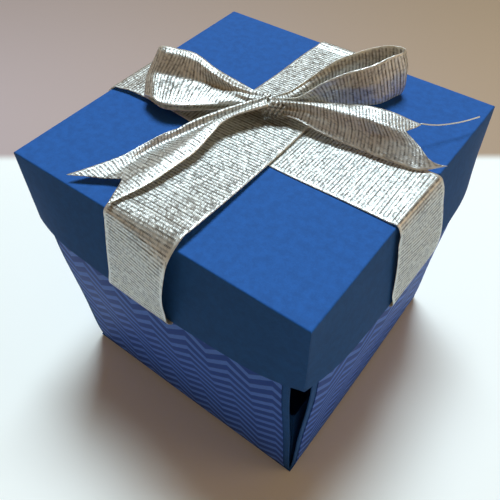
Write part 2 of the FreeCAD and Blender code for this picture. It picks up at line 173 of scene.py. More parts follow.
class Wiring:
    """Adds nodes to a tree and links them."""

    def __init__(self, tree):
        self.tree = tree

    def fill(self, made, inputs):
        """Put values or links on a node's inputs, each given by name or number."""
        for key, value in inputs.items():
            if isinstance(value, bpy.types.NodeSocket):
                self.tree.links.new(value, made.inputs[key])
            else:
                made.inputs[key].default_value = value

    def node(self, kind, inputs=None, **settings):
        """A node of that kind, with its settings and with values or links on its inputs."""
        made = self.tree.nodes.new(kind)
        for name, value in settings.items():
            setattr(made, name, value)
        self.fill(made, inputs or {})
        return made

    def maths(self, operation, first, second=0.0):
        """The result of an operation on one or two numbers."""
        values = {0: first, 1: second}
        return self.node("ShaderNodeMath", values, operation=operation).outputs[0]

    def product(self, first, *others):
        """All the numbers multiplied together."""
        for other in others:
            first = self.maths("MULTIPLY", first, other)
        return first

    def vectors(self, operation, first, second=(0.0, 0.0, 0.0), result="Vector"):
        """The result of an operation on one or two vectors or colours."""
        values = {0: first, 1: second}
        return self.node("ShaderNodeVectorMath", values, operation=operation).outputs[result]

    def scaled(self, vector, factor):
        """A vector or colour times a number."""
        values = {0: vector, "Scale": factor}
        return self.node("ShaderNodeVectorMath", values, operation="SCALE").outputs["Vector"]

    def triangle(self, value):
        """0 at each whole number, 1 halfway between two."""
        return self.maths("PINGPONG", self.maths("MULTIPLY", value, 2.0), 1.0)

    def ramp(self, value, low, high, out_low=0.0, out_high=1.0):
        """A soft step from out_low at low to out_high at high."""
        ends = {"From Min": low, "From Max": high, "To Min": out_low, "To Max": out_high}
        values = {"Value": value, **ends}
        step = self.node("ShaderNodeMapRange", values, interpolation_type="SMOOTHSTEP")
        return step.outputs["Result"]

    def blend(self, share_of_second, first, second):
        """A colour between first, at share 0, and second, at share 1."""
        values = {0: share_of_second, 6: first, 7: second}
        return self.node("ShaderNodeMix", values, data_type="RGBA").outputs[2]

    def split(self, vector):
        """The outputs X, Y and Z of a vector."""
        return self.node("ShaderNodeSeparateXYZ", {0: vector}).outputs

    def joined(self, x, y):
        """A vector of two numbers."""
        return self.node("ShaderNodeCombineXYZ", {"X": x, "Y": y}).outputs[0]

    def noise(self, place, scale, **more):
        """Cloudy value between 0 and 1."""
        values = {"Vector": place, "Scale": scale, **more}
        return self.node("ShaderNodeTexNoise", values).outputs["Fac"]

    def bump(self, height, strength):
        """The normal of a surface with a fine relief."""
        values = {"Height": height, "Strength": strength, "Distance": FINE_RELIEF}
        return self.node("ShaderNodeBump", values).outputs["Normal"]

    def object_place(self):
        """Place on the object, in metres."""
        return self.node("ShaderNodeTexCoord").outputs["Object"]


def new_material(name):
    """An empty material, the wiring to fill it and its one shader."""
    material = bpy.data.materials.new(name)
    material.use_nodes = True
    return material, Wiring(material.node_tree), material.node_tree.nodes["Principled BSDF"]


def solid(rgb, factor=1.0):
    """A colour times a factor, with full opacity."""
    return (*(value * factor for value in rgb), 1.0)


def fibres(wiring, place, scale):
    """Soft value between 0 and 1 that mottles as pressed paper fibre does."""
    return wiring.noise(place, scale, Detail=4.0, Roughness=0.6)


def card_material(look):
    """Matt dyed card with faint fibre mottling."""
    material, wiring, shader = new_material("dyed_card")
    place = wiring.object_place()
    mottle = fibres(wiring, place, 420.0)
    grain = fibres(wiring, place, 1900.0)
    cloud = wiring.maths("ADD", mottle, wiring.maths("MULTIPLY", grain, 0.5))
    dark, light = solid(look.card, 0.87), solid(look.card, 1.10)
    wiring.fill(shader, {
        "Base Color": wiring.blend(wiring.ramp(cloud, 0.5, 1.0), dark, light),
        "Roughness": 0.75,
        "Specular IOR Level": 0.22,
        "Normal": wiring.bump(grain, 0.18),
    })
    return material


def plain_paper_material(look):
    """Lighter plain paper of the mats inside."""
    material, wiring, shader = new_material("plain_paper")
    grain = fibres(wiring, wiring.object_place(), 1200.0)
    dark, light = solid(look.mat_paper, 0.93), solid(look.mat_paper, 1.06)
    wiring.fill(shader, {
        "Base Color": wiring.blend(grain, dark, light),
        "Roughness": 0.8,
        "Normal": wiring.bump(grain, 0.12),
    })
    return material


def zigzag_material(look, name, across):
    """Printed zigzag paper: lines that run level along X or Y, one above another along Z."""
    material, wiring, shader = new_material(name)
    place = wiring.object_place()
    parts = wiring.split(place)
    run = wiring.maths("SUBTRACT", parts[across], look.zig_peak)
    peaks = wiring.triangle(wiring.maths("DIVIDE", run, look.zig_wide))
    fall = wiring.maths("MULTIPLY", peaks, look.zig_tall)
    height = wiring.maths("SUBTRACT", wiring.maths("ADD", parts["Z"], fall), look.zig_level)
    off_line = wiring.triangle(wiring.maths("DIVIDE", height, look.zig_pitch))
    soft, ragged = 0.10, 0.12
    stray = wiring.maths("SUBTRACT", fibres(wiring, place, 900.0), 0.5)
    reach = wiring.maths("ADD", off_line, wiring.maths("MULTIPLY", stray, ragged))
    ink = wiring.ramp(reach, look.zig_share - soft, look.zig_share + soft, 1.0, 0.0)
    grain = fibres(wiring, place, 1500.0)
    ink = wiring.maths("MULTIPLY", ink, wiring.ramp(grain, 0.3, 0.7, 0.86, 1.0))
    wiring.fill(shader, {
        "Base Color": wiring.blend(ink, solid(look.ground), solid(look.stroke)),
        "Roughness": 0.62,
        "Specular IOR Level": 0.2,
        "Normal": wiring.bump(grain, 0.1),
    })
    return material


THREAD_WIDE = 0.5 * MM  # width of one lengthwise thread
THREAD_STAGGER = 0.37  # shift of the threads from one gap to the next, in threads
STREAK_LONG = 2.2 * MM  # length of a darker stretch along a gap
STREAK_CHANGE = 3.7  # how much the stretches differ from one gap to the next
WARM_CLOTH = (1.0, 0.87, 0.72)  # tint of the light that comes through


def ribbon_place(wiring, weave, wide):
    """Distance from the ribbon's nearer edge and place along it, in metres."""
    parts = wiring.split(weave)
    return [wiring.maths("MULTIPLY", parts[axis], wide) for axis in "XY"]


def painted_gap_shade(wiring, look, edge, ribs, number, beads):
    """Painted shade of the weave: 1 midway between two ribs where nothing breaks it, 0 on a rib.

    Streaks and single threads break it, it is fainter in every other one of the gaps, and none of
    it reaches the finer edge.
    """
    across_gap = wiring.maths("DIVIDE", edge, STREAK_LONG)
    by_gap = wiring.maths("MULTIPLY", number, STREAK_CHANGE)
    streak = wiring.noise(wiring.joined(across_gap, by_gap), 1.0, Detail=2.0)
    valley = wiring.maths("SUBTRACT", 1.0, wiring.triangle(ribs))
    odd = wiring.maths("PINGPONG", number, 1.0)
    return wiring.product(
        wiring.ramp(valley, 0.36, 0.74),
        wiring.ramp(streak, 0.36, 0.58, 0.4, 1.0),
        wiring.ramp(odd, 0.0, 1.0, 1.0, 0.72),
        wiring.ramp(beads, 0.0, 0.6, 0.45, 1.0),
        wiring.ramp(edge, look.selvedge * 0.6, look.selvedge * 1.1),
    )


def ribbon_material(look):
    """Metallic woven ribbon: bright cross ribs, painted shade between them and a finer edge."""
    material, wiring, shader = new_material("lame_weave")
    weave = wiring.node("ShaderNodeUVMap", uv_map="weave").outputs["UV"]
    edge, along = ribbon_place(wiring, weave, look.wide)
    ribs = wiring.maths("DIVIDE", along, look.rib_pitch)
    number = wiring.maths("FLOOR", wiring.maths("ADD", ribs, 0.5))
    stagger = wiring.maths("MULTIPLY", number, THREAD_STAGGER)
    threads = wiring.maths("ADD", wiring.maths("DIVIDE", edge, THREAD_WIDE), stagger)
    beads = wiring.triangle(threads)
    # Painted shade: how much darkness is put into the gaps between the ribs.
    line = painted_gap_shade(wiring, look, edge, ribs, number, beads)

    stitch = wiring.joined(wiring.maths("FLOOR", threads), wiring.maths("FLOOR", ribs))
    dice = wiring.node("ShaderNodeTexWhiteNoise", {"Vector": stitch}, noise_dimensions="2D").outputs
    chance = dice["Value"]
    metal = wiring.blend(wiring.ramp(chance, 0.6, 1.0), solid(look.thread), solid(look.glint))
    metal = wiring.scaled(metal, wiring.ramp(chance, 0.0, 0.35, 0.72, 1.0))

    fuzz = wiring.maths("MULTIPLY", wiring.noise(weave, 60.0, Detail=2.0), 1.2)
    twist = wiring.maths("ADD", wiring.maths("MULTIPLY", beads, -0.5), fuzz)
    lean = wiring.scaled(wiring.vectors("SUBTRACT", dice["Color"], (0.5, 0.5, 0.5)), look.sparkle)
    facet = wiring.vectors("ADD", wiring.bump(twist, 0.5), lean)
    wiring.fill(shader, {
        # The painted shade darkens the colour and takes the metal out between the ribs.
        "Base Color": wiring.blend(line, metal, solid(look.gap)),
        "Metallic": wiring.ramp(line, 0.0, 1.0, 0.9, 0.1),
        "Roughness": wiring.ramp(chance, 0.0, 1.0, 0.35, 0.46),
        "Normal": wiring.vectors("NORMALIZE", facet),
    })

    # The light let through carries the painted gap shade at half strength, tinted warm.
    lit = wiring.blend(wiring.maths("MULTIPLY", line, 0.5), metal, solid(look.gap))
    lit = wiring.vectors("MULTIPLY", lit, WARM_CLOTH)
    glow = wiring.node("ShaderNodeBsdfTranslucent", {"Color": lit}).outputs["BSDF"]
    both = {0: look.through, 1: shader.outputs["BSDF"], 2: glow}
    surface = wiring.node("ShaderNodeMixShader", both).outputs["Shader"]
    wiring.fill(material.node_tree.nodes["Material Output"], {"Surface": surface})
    return material


# ------------------------------------------------ woven ribbon laid on rows of points

INNER_COLUMNS = 19  # mesh lines that run along the ribbon between its two finer edges
ROWS_PER_RIB = 4  # mesh lines that run across it for each rib
SUNK_SHARE = 0.6  # share of a rib's height by which the gaps sink into the cloth


def between(places, wanted):
    """For each wanted value: the number of the place below it, the step there and its share."""
    index = np.clip(np.searchsorted(places, wanted, side="right") - 1, 0, len(places) - 2)
    step = places[index + 1] - places[index]
    return index, step, (wanted - places[index]) / step


def eased(low, high, slope_low, slope_high, step, part):
    """A smooth run from low to high that leaves and arrives with the given slopes."""
    rise = part * part * (3 - 2 * part)
    bend = slope_low * part * (1 - part) ** 2 + slope_high * part * part * (part - 1)
    return low * (1 - rise) + high * rise + step * bend


def curve_through(values, places, wanted):
    """A smooth curve through values, which stand at places, read at the wanted places."""
    slopes = np.gradient(values, places, axis=0)
    index, step, part = between(places, wanted)
    shape = (-1,) + (1,) * (values.ndim - 1)
    step, part = step.reshape(shape), part.reshape(shape)
    return eased(values[index], values[index + 1], slopes[index], slopes[index + 1], step, part)


def travelled(rows):
    """Mean distance along the rows of points, from the first row to each."""
    steps = np.linalg.norm(np.diff(rows, axis=0), axis=2).mean(axis=1)
    return np.concatenate([[0.0], np.cumsum(steps)])


class Route:
    """A ribbon's surface: rows of points from one edge to the other, one row after another.

    Lengths are in millimetres. The pleats have a depth at the route's start and at its end.
    """

    READING = 0.1  # distance between two places that are worked out along the route
    REACH = 0.5  # distance to either side over which the surface's slope is taken
    SOFT = 0.6  # share of the smooth section, the rest is straight from point to point
    FIRST_PLEAT = 0.6  # where across the ribbon the pleats start, in radians

    def __init__(self, across, rows, pleats=(0, 0), pleat_count=3, pleat_run=16.0):
        self.across = np.array(across, float)
        rows = np.array(rows, float)
        knots = travelled(rows)
        fine = np.linspace(0.0, knots[-1], int(knots[-1] / self.READING) + 2)
        self.lines = curve_through(rows, knots, fine)
        self.travel = travelled(self.lines)
        self.long = self.travel[-1]
        self.pleats, self.pleat_count, self.pleat_run = pleats, pleat_count, pleat_run

    def flat_place(self, u, v):
        """Places on the unpleated surface, u across and v along."""
        columns = np.stack([
            np.stack([np.interp(v, self.travel, line[:, axis]) for axis in range(3)], axis=1)
            for line in np.moveaxis(self.lines, 1, 0)
        ])
        slopes = np.gradient(columns, self.across, axis=0)
        index, step, part = between(self.across, u)
        step, part = step[:, None], part[:, None]
        pick = np.arange(len(u))
        low, high = columns[index, pick], columns[index + 1, pick]
        smooth = eased(low, high, slopes[index, pick], slopes[index + 1, pick], step, part)
        straight = low * (1 - part) + high * part
        return self.SOFT * smooth + (1 - self.SOFT) * straight

    def place(self, u, v):
        """Places on the surface with its pleats, which fade away from the gathered ends."""
        u, v = np.array(u, float), np.array(v, float)
        at = self.flat_place(u, v)
        if not any(self.pleats):
            return at
        wide = self.across[-1]
        before, after = np.maximum(u - self.REACH, 0), np.minimum(u + self.REACH, wide)
        side = self.flat_place(after, v) - self.flat_place(before, v)
        before, after = np.maximum(v - self.REACH, 0), np.minimum(v + self.REACH, self.long)
        ahead = self.flat_place(u, after) - self.flat_place(u, before)
        normal = np.cross(side, ahead)
        normal /= np.maximum(np.linalg.norm(normal, axis=1, keepdims=True), 1e-9)
        covered = np.linalg.norm(np.diff(self.lines, axis=1), axis=2).sum(axis=1)
        covered = np.interp(v, self.travel, covered)
        height = np.sqrt(np.maximum(wide**2 - covered**2, 0)) / (4 * self.pleat_count)
        near_start = np.exp(-v / self.pleat_run)
        near_end = np.exp((v - self.long) / self.pleat_run)
        depth = self.pleats[0] * near_start + self.pleats[1] * near_end
        wave = np.sin(2 * math.pi * self.pleat_count * u / wide + self.FIRST_PLEAT)
        return at + normal * (height * depth * wave)[:, None]


def columns_of(wide, selvedge):
    """Places of the mesh lines that run along the ribbon."""
    inner = np.linspace(selvedge, wide - selvedge, INNER_COLUMNS)
    return np.concatenate([[0.0, selvedge / 2], inner, [wide - selvedge / 2, wide]])


def flat_mesh(look, wide, long, notch):
    """Flat ribbon as a mesh, X across and Y along, in millimetres.

    Its end is notched at that share of its width, to that share of the usual depth.
    """
    columns = columns_of(wide, millimetres(look.selvedge))
    steps = round(long / millimetres(look.rib_pitch) * ROWS_PER_RIB)
    rows = np.linspace(0.0, long, max(2, steps) + 1)
    made = bmesh.new()
    grid = [[made.verts.new((u, v, 0.0)) for u in columns] for v in rows]
    for low, high in zip(grid, grid[1:]):
        for c in range(len(columns) - 1):
            made.faces.new((low[c], low[c + 1], high[c + 1], high[c]))
    if notch:
        cut_notch(made, wide, long, wide * notch[0], millimetres(look.notch) * notch[1])
    return made


def cut_notch(made, wide, long, middle, deep):
    """Cut a V out of a flat ribbon's end, with its foot at middle."""
    foot = Vector((middle, long - deep, 0))
    for side in (0.0, wide):
        corner = Vector((side, long, 0))
        bmesh.ops.bisect_plane(
            made, geom=made.verts[:] + made.edges[:] + made.faces[:], dist=1e-5,
            plane_co=corner, plane_no=(foot - corner).cross(UP),
        )
    waste = []
    for face in made.faces:
        at = face.calc_center_median()
        cut = deep * min(at.x / middle, (wide - at.x) / (wide - middle))
        if at.y > long - cut:
            waste.append(face)
    bmesh.ops.delete(made, geom=waste, context="FACES")


def laid_ribbon(look, route, start=0.0, notch=None):
    """One length of ribbon as a mesh in place.

    Its UV map has the distance from the nearer edge and the place along, where 1 is the width of
    the bands.
    """
    wide, unit = route.across[-1], millimetres(look.wide)
    made = flat_mesh(look, wide, route.long, notch)
    weave = made.loops.layers.uv.new("weave")
    for face in made.faces:
        for loop in face.loops:
            at = loop.vert.co
            loop[weave].uv = (min(at.x, wide - at.x) / unit, (at.y + start) / unit)
    flat = np.array([vert.co for vert in made.verts])
    for vert, spot in zip(made.verts, route.place(flat[:, 0], flat[:, 1])):
        vert.co = Vector(spot) * MM
    return made


def rib_tree():
    """Nodes that raise the cross ribs of a woven ribbon and paint it."""
    tree = bpy.data.node_groups.new("cross_ribs", "GeometryNodeTree")
    face = tree.interface
    face.new_socket("Geometry", in_out="INPUT", socket_type="NodeSocketGeometry")
    for name in ("Ribbon width", "Rib pitch", "Rib height", "Selvedge"):
        face.new_socket(name, in_out="INPUT", socket_type="NodeSocketFloat")
    face.new_socket("Finish", in_out="INPUT", socket_type="NodeSocketMaterial")
    face.new_socket("Geometry", in_out="OUTPUT", socket_type="NodeSocketGeometry")
    wiring = Wiring(tree)
    given = wiring.node("NodeGroupInput").outputs
    wanted = {"Name": "weave"}
    weave = wiring.node("GeometryNodeInputNamedAttribute", wanted, data_type="FLOAT_VECTOR")
    edge, along = ribbon_place(wiring, weave.outputs["Attribute"], given["Ribbon width"])
    crest = wiring.triangle(wiring.maths("DIVIDE", along, given["Rib pitch"]))
    crest = wiring.maths("SUBTRACT", wiring.maths("SQRT", crest), SUNK_SHARE)
    body = wiring.maths("MINIMUM", wiring.maths("DIVIDE", edge, given["Selvedge"]), 1.0)
    lift = wiring.product(crest, given["Rib height"], body)
    offset = wiring.scaled(wiring.node("GeometryNodeInputNormal").outputs["Normal"], lift)
    raised = {"Geometry": given["Geometry"], "Offset": offset}
    raised = wiring.node("GeometryNodeSetPosition", raised).outputs["Geometry"]
    whole = wiring.node("GeometryNodeRealizeInstances", {"Geometry": raised}).outputs["Geometry"]
    finish = {"Geometry": whole, "Material": given["Finish"]}
    painted = wiring.node("GeometryNodeSetMaterial", finish).outputs["Geometry"]
    wiring.node("NodeGroupOutput", {"Geometry": painted})
    return tree


def loose_thread(points, radius=0.2, sides=6, count=26):
    """A thin closed tube of that many rings through points, as a mesh in place."""
    points = np.array(points, float)
    places = np.arange(len(points), dtype=float)
    middle = curve_through(points, places, np.linspace(0, len(points) - 1, count))
    turns = [2 * math.pi * side / sides for side in range(sides)]
    made = bmesh.new()
    rings = []
    for index, spot in enumerate(middle):
        ahead = Vector(middle[min(index + 1, count - 1)] - middle[max(index - 1, 0)]).normalized()
        aside = ahead.cross(UP).normalized()
        above = aside.cross(ahead)
        rims = [(aside * math.cos(turn) + above * math.sin(turn)) * radius for turn in turns]
        rings.append([made.verts.new((Vector(spot) + rim) * MM) for rim in rims])
    for low, high in zip(rings, rings[1:]):
        for side in range(sides):
            after = (side + 1) % sides
            made.faces.new((low[side], low[after], high[after], high[side]))
    made.faces.new(rings[0])
    made.faces.new(rings[-1][::-1])
    bmesh.ops.recalc_face_normals(made, faces=made.faces[:])
    return made


def placed(name, data):
    """A new object of that data in the scene."""
    made = bpy.data.objects.new(name, data)
    bpy.context.scene.collection.objects.link(made)
    return made


def add_to(whole, part):
    """Add one mesh under construction to another, and free it."""
    mesh = bpy.data.meshes.new("part")
    part.to_mesh(mesh)
    part.free()
    whole.from_mesh(mesh)
    bpy.data.meshes.remove(mesh)


def finished_cloth(name, parts, look, material, loose=None):
    """One object of ribbed ribbon with a thickness, from its laid lengths and a loose thread."""
    mesh = bpy.data.meshes.new(name)
    whole = bmesh.new()
    for part in parts:
        add_to(whole, part)
    whole.to_mesh(mesh)
    whole.free()
    draft = placed(name + "_draft", mesh)
    ribs = draft.modifiers.new("ribs", "NODES")
    ribs.node_group = rib_tree()
    given = {
        "Ribbon width": look.wide, "Rib pitch": look.rib_pitch, "Rib height": look.rib_height,
        "Selvedge": look.selvedge, "Finish": material,
    }
    for item in ribs.node_group.interface.items_tree:
        if item.in_out == "INPUT" and item.name in given:
            ribs[item.identifier] = given[item.name]
    body = draft.modifiers.new("body", "SOLIDIFY")
    body.thickness = look.thick
    body.offset = 0.0
    ready = draft.evaluated_get(bpy.context.evaluated_depsgraph_get())
    solid_mesh = bpy.data.meshes.new_from_object(ready)
    bpy.data.objects.remove(draft)
    if loose:
        whole = bmesh.new()
        whole.from_mesh(solid_mesh)
        add_to(whole, loose)
        whole.to_mesh(solid_mesh)
        whole.free()
    cloth = placed(name, solid_mesh)
    cloth.data.name = name
    for face in cloth.data.polygons:
        face.use_smooth = True
    return cloth


# ------------------------------------------------ routes of the ribbon, in millimetres


def upper_band_rows():
    """Rows of the upper band from its back to its front end, each from left to right."""
    up_the_wall = [
        (55.75, 75), (56.3, 72.1), (57.0, 71.35), (57.75, 72.4), (57.0, 77), (55.6, 86),
        (54.1, 95), (53.3, 99),
    ]
    back = [
        [(-11, 55.3, 78), (1, 55.3, 78), (13.5, 55.3, 78)],
        *([(-11, y, z), (1, y + 0.1, z), (13.5, y, z)] for y, z in up_the_wall),
        [(-11, 52.2, 100.9), (1, 52.2, 101.0), (13.5, 52.2, 100.9)],
    ]
    top = [
        [(-12, 47, 100.7), (0.3, 47, 100.9), (12.8, 47, 100.8)],
        [(-12.8, 25, 100.7), (-0.4, 25, 100.9), (12.2, 25, 100.9)],
        [(-13.5, 10, 100.9), (-1, 10, 101.0), (12.0, 10, 101.0)],
        [(-13.5, -12, 100.9), (-1, -12, 101.0), (12.3, -12, 101.2)],
        [(-13.5, -30, 100.6), (-1, -30, 100.9), (12.4, -30, 101.8)],
        [(-13.5, -45, 100.8), (-1, -45, 101.2), (12.3, -46, 102.5)],
        [(-13.5, -49.4, 101.1), (-0.9, -49.4, 101.5), (12.2, -49.8, 102.5)],
        [(-13.5, -51.5, 100.7), (-0.9, -51.5, 100.9), (12.2, -51.9, 101.6)],
    ]
    front = [
        [(-13.6, -53.0, 99.4), (-0.8, -53.6, 99.6), (12.0, -54.2, 99.9)],
        [(-13.7, -53.5, 96.6), (-0.9, -54.7, 96.8), (11.8, -56.3, 97.4)],
        [(-13.7, -54.4, 92.0), (-1.0, -56.1, 92.3), (11.5, -58.0, 92.6)],
        [(-13.8, -55.6, 85.2), (-1.2, -57.3, 85.0), (11.1, -59.4, 86.0)],
        [(-13.8, -56.9, 77.3), (-1.4, -58.1, 77.3), (10.8, -59.2, 78.6)],
        [(-13.8, -57.7, 72.2), (-1.5, -58.0, 72.2), (10.6, -58.3, 72.6)],
        [(-13.8, -57.0, 71.35), (-1.5, -57.1, 71.3), (10.6, -57.2, 71.35)],
        [(-13.8, -56.3, 72.1), (-1.5, -56.3, 72.1), (10.6, -56.3, 72.1)],
        [(-13.8, -55.75, 75), (-1.5, -55.75, 75), (10.6, -55.75, 75)],
        [(-13.8, -55.3, 78), (-1.5, -55.3, 78), (10.6, -55.3, 78)],
    ]
    return back + top + front


def lower_band_rows():
    """Rows of the lower band from its left to its right end, each from back to front."""
    up_the_wall = [
        (-55.3, 78), (-55.75, 75), (-56.3, 72.1), (-57.0, 71.35), (-57.75, 72.4), (-57.0, 77),
        (-55.6, 86), (-54.1, 95), (-53.2, 99),
    ]
    left = [
        *([(x, 11.2, z), (x - 0.1, -1.3, z), (x, -13.8, z)] for x, z in up_the_wall),
        [(-52.2, 12.2, 100.6), (-52.2, -0.3, 100.6), (-52.2, -12.6, 100.6)],
    ]
    top = [
        [(-48, 13.2, 101), (-48, 0.9, 101.3), (-48, -11.5, 101.2)],
        [(-36, 13.8, 101.1), (-36, 1.4, 101.6), (-36, -11.0, 101.5)],
        [(-22, 13.6, 100.6), (-22, 1.2, 101), (-22, -11.2, 101)],
        [(-13, 13.0, 100.3), (-13, 0.6, 100.3), (-13, -11.8, 100.3)],
        [(15, 10.4, 100.3), (15, -1.8, 100.3), (15, -13.2, 100.3)],
        [(40, 10.6, 100.5), (40, -1.4, 100.5), (40, -12.8, 100.4)],
        [(50, 11.0, 100.9), (50, -1.1, 100.8), (50, -12.8, 100.5)],
    ]
    right = [
        [(53.4, 11.4, 100.3), (53.0, -1.0, 100.5), (52.6, -12.8, 100.6)],
        [(54.6, 11.5, 98.2), (54.2, -1.0, 98.5), (53.8, -12.9, 98.9)],
        [(56.0, 11.4, 92.4), (55.2, -1.4, 92.8), (54.5, -13.3, 94.4)],
        [(57.5, 11.0, 86.4), (56.6, -1.8, 86.8), (55.6, -13.8, 88.4)],
        [(58.5, 10.6, 80.4), (57.6, -2.0, 80.6), (56.4, -14.3, 81.6)],
        [(58.5, 10.3, 75.4), (57.9, -2.3, 75.4), (57.0, -14.8, 75.6)],
        [(57.9, 10.0, 72.2), (57.8, -2.5, 72.2), (57.7, -15.0, 72.2)],
        [(57.1, 10.0, 71.3), (57.0, -2.5, 71.35), (57.0, -15.0, 71.35)],
        [(56.3, 10.0, 72.1), (56.3, -2.5, 72.1), (56.3, -15.0, 72.1)],
        [(55.75, 10.0, 75), (55.75, -2.5, 75), (55.75, -15.0, 75)],
        [(55.3, 10.0, 78), (55.3, -2.5, 78), (55.3, -15.0, 78)],
    ]
    return left + top + right


def lying_loop_rows():
    """Rows of the loop that lies on the lid: out over its top, round its end and back beneath."""
    over = [
        [(-3.1, 8.7, 105.5), (-3, 8.5, 105.6), (-3, 7.8, 106.2),
         (-3, 7, 106.4), (-3.2, 6, 105.8), (-3.4, 5.2, 104.8)],
        [(-8, 7, 106.6), (-7.6, 6, 106.7), (-6.8, 4.8, 106.6),
         (-6.2, 3.4, 106), (-6.6, 2.8, 105.2), (-7.2, 2.2, 104.3)],
        [(-13.5, 5.6, 108.5), (-12.8, 3.4, 108.3), (-11.8, 2.9, 107.3),
         (-11, 2.4, 106.4), (-11.2, 0.4, 105.8), (-11.6, -1.8, 104.8)],
        [(-19.8, 3.6, 111.2), (-18.8, 1.3, 110.9), (-18.3, 1.2, 108.9),
         (-17.9, 1.4, 106.8), (-17.2, -2.8, 106.3), (-16.4, -7, 105.4)],
        [(-28.8, 4, 113.2), (-27.4, 1.6, 112.8), (-27, 0, 110.3),
         (-26.6, -1.9, 107.3), (-24.6, -7.2, 106.8), (-22.4, -12.4, 105.8)],
        [(-34.2, 2.4, 113.6), (-32.8, 0.3, 113.3), (-33.5, -1.9, 110.5),
         (-34.4, -4.5, 107.5), (-31.2, -9.6, 107), (-27.7, -14.7, 105.8)],
        [(-39.4, 0.5, 113.8), (-38.2, -1.5, 113.5), (-38.4, -3.5, 110.6),
         (-38.7, -5.8, 107.6), (-35.5, -10, 107), (-32, -14.2, 105.9)],
    ]
    end = [
        (-41.5, 0.6, 112), (-40.8, -0.8, 111.7), (-41.4, -2.8, 109),
        (-42, -5, 106.2), (-39.4, -9, 105.4), (-36.4, -13, 104.2),
    ]
    drops = [
        (0.5, 1, -3), (0.5, 1.2, -3), (0.5, 1.4, -3),
        (0.4, 1.2, -2.9), (0.3, 0.8, -2.6), (0.2, 0.5, -2),
    ]
    beneath = [
        [tuple(a + b for a, b in zip(point, drop)) for point, drop in zip(row, drops)]
        for row in reversed(over)
    ]
    return over + [end] + beneath


def standing_loop_rows():
    """Rows of the loop that stands, each from its top edge to its turned-in lower edge."""
    return [
        [(-1, 8, 106.2), (-1, 7.3, 105), (-1, 6.4, 103.8), (-1, 6.8, 103.2)],
        [(2.5, 9, 107), (2.4, 10.2, 105.2), (2.3, 11.5, 103.4), (2.2, 12, 102.8)],
        [(5.4, 11.6, 107.2), (5.8, 14, 105.4), (5.8, 16.9, 103), (5, 18.4, 102.2)],
        [(8.9, 18, 109.5), (10.2, 19.2, 106.4), (11.3, 20, 102.6), (9.6, 22.4, 101.4)],
        [(13.6, 23.4, 112), (15.6, 22.8, 107.6), (16.4, 23.2, 102), (14.8, 26.2, 101.1)],
        [(16.8, 26, 113.2), (19.2, 25.2, 108), (20.4, 26, 102), (18.2, 28.8, 101.1)],
        [(19.6, 29.4, 114), (22.2, 28.6, 108.4), (23.6, 29.2, 102), (21, 32, 101.1)],
        [(22.4, 34.5, 115.2), (24.7, 34.3, 109.2), (25.6, 34.8, 102), (22.6, 35.4, 101.1)],
        [(24.2, 39.2, 115.2), (26.2, 39.8, 109.7), (26.4, 39.4, 102), (23.2, 37.8, 101.1)],
        [(23.8, 41.5, 114.9), (25.3, 41.9, 109.9), (25, 41.2, 102), (22.6, 38.8, 101.1)],
        [(20.1, 41.5, 114.7), (21.3, 41.3, 109.5), (21.6, 39.8, 102), (20.8, 37.4, 101.1)],
        [(15.3, 37, 114.6), (16.7, 36.5, 109.1), (17.6, 35, 102), (17.6, 33, 101.1)],
        [(12.3, 31.8, 114.3), (13.4, 31.8, 108.4), (14.2, 30.8, 102), (14.8, 28.8, 101.1)],
        [(8.8, 26.6, 113.1), (10, 26.7, 107.6), (11, 26.4, 102), (12, 24.6, 101.2)],
        [(4.9, 18.5, 109.8), (6.2, 19.5, 106.4), (7.2, 20.2, 102.6), (8, 19.4, 101.6)],
        [(2.2, 11.2, 107.5), (2.9, 12.4, 105.4), (4, 13.5, 103.2), (4.4, 13.2, 102.6)],
        [(-1, 8, 106), (-1, 7.6, 104.6), (-1, 7, 103.4), (-1, 6.8, 103)],
    ]


def front_tail_rows():
    """Rows of the tail along the upper band, each from back to front over a crease."""
    return [
        [(-4.7, 9.2, 102.5), (-2.5, 6.5, 106.8), (-2.2, 5.6, 106.2),
         (-1, 3.8, 107.2), (0.6, 2.4, 106.8)],
        [(-10.2, 0.1, 101.9), (-7.7, -3.1, 106.7), (-7, -3.8, 105.4),
         (-5.7, -5.5, 106.9), (-4.7, -6.7, 106.5)],
        [(-13.3, -7.2, 102.3), (-11.1, -9.9, 106.4), (-10.2, -10.6, 104.6),
         (-7.9, -10.9, 106.3), (-6.3, -11.2, 105.8)],
        [(-15.6, -14.2, 102.9), (-14.1, -16.2, 105.8), (-13, -17.2, 104),
         (-9, -16.8, 105.6), (-6.1, -16.5, 104.9)],
        [(-17.1, -23.1, 105.1), (-16.6, -23.6, 104.4), (-15.9, -24.3, 103.3),
         (-9.2, -24, 104.9), (-5.6, -23.9, 104)],
        [(-19.7, -29.9, 104.2), (-19.1, -30.4, 103.5), (-18.3, -31.2, 102.5),
         (-10.4, -31.4, 104.2), (-6.5, -31.4, 103.4)],
        [(-21.8, -36.9, 103.4), (-20.3, -37.4, 103), (-19, -38.1, 102.4),
         (-11.9, -39.2, 103.4), (-7.7, -39.8, 103)],
        [(-25.9, -44.8, 102.7), (-23, -45.2, 102.4), (-20.6, -45.5, 102),
         (-14.5, -46.3, 102.6), (-9.8, -46.9, 102.6)],
        [(-29.6, -51.2, 102.2), (-25.8, -51.5, 102.1), (-22.9, -51.7, 101.9),
         (-17.2, -52.2, 102.1), (-11.9, -52.6, 102.1)],
    ]


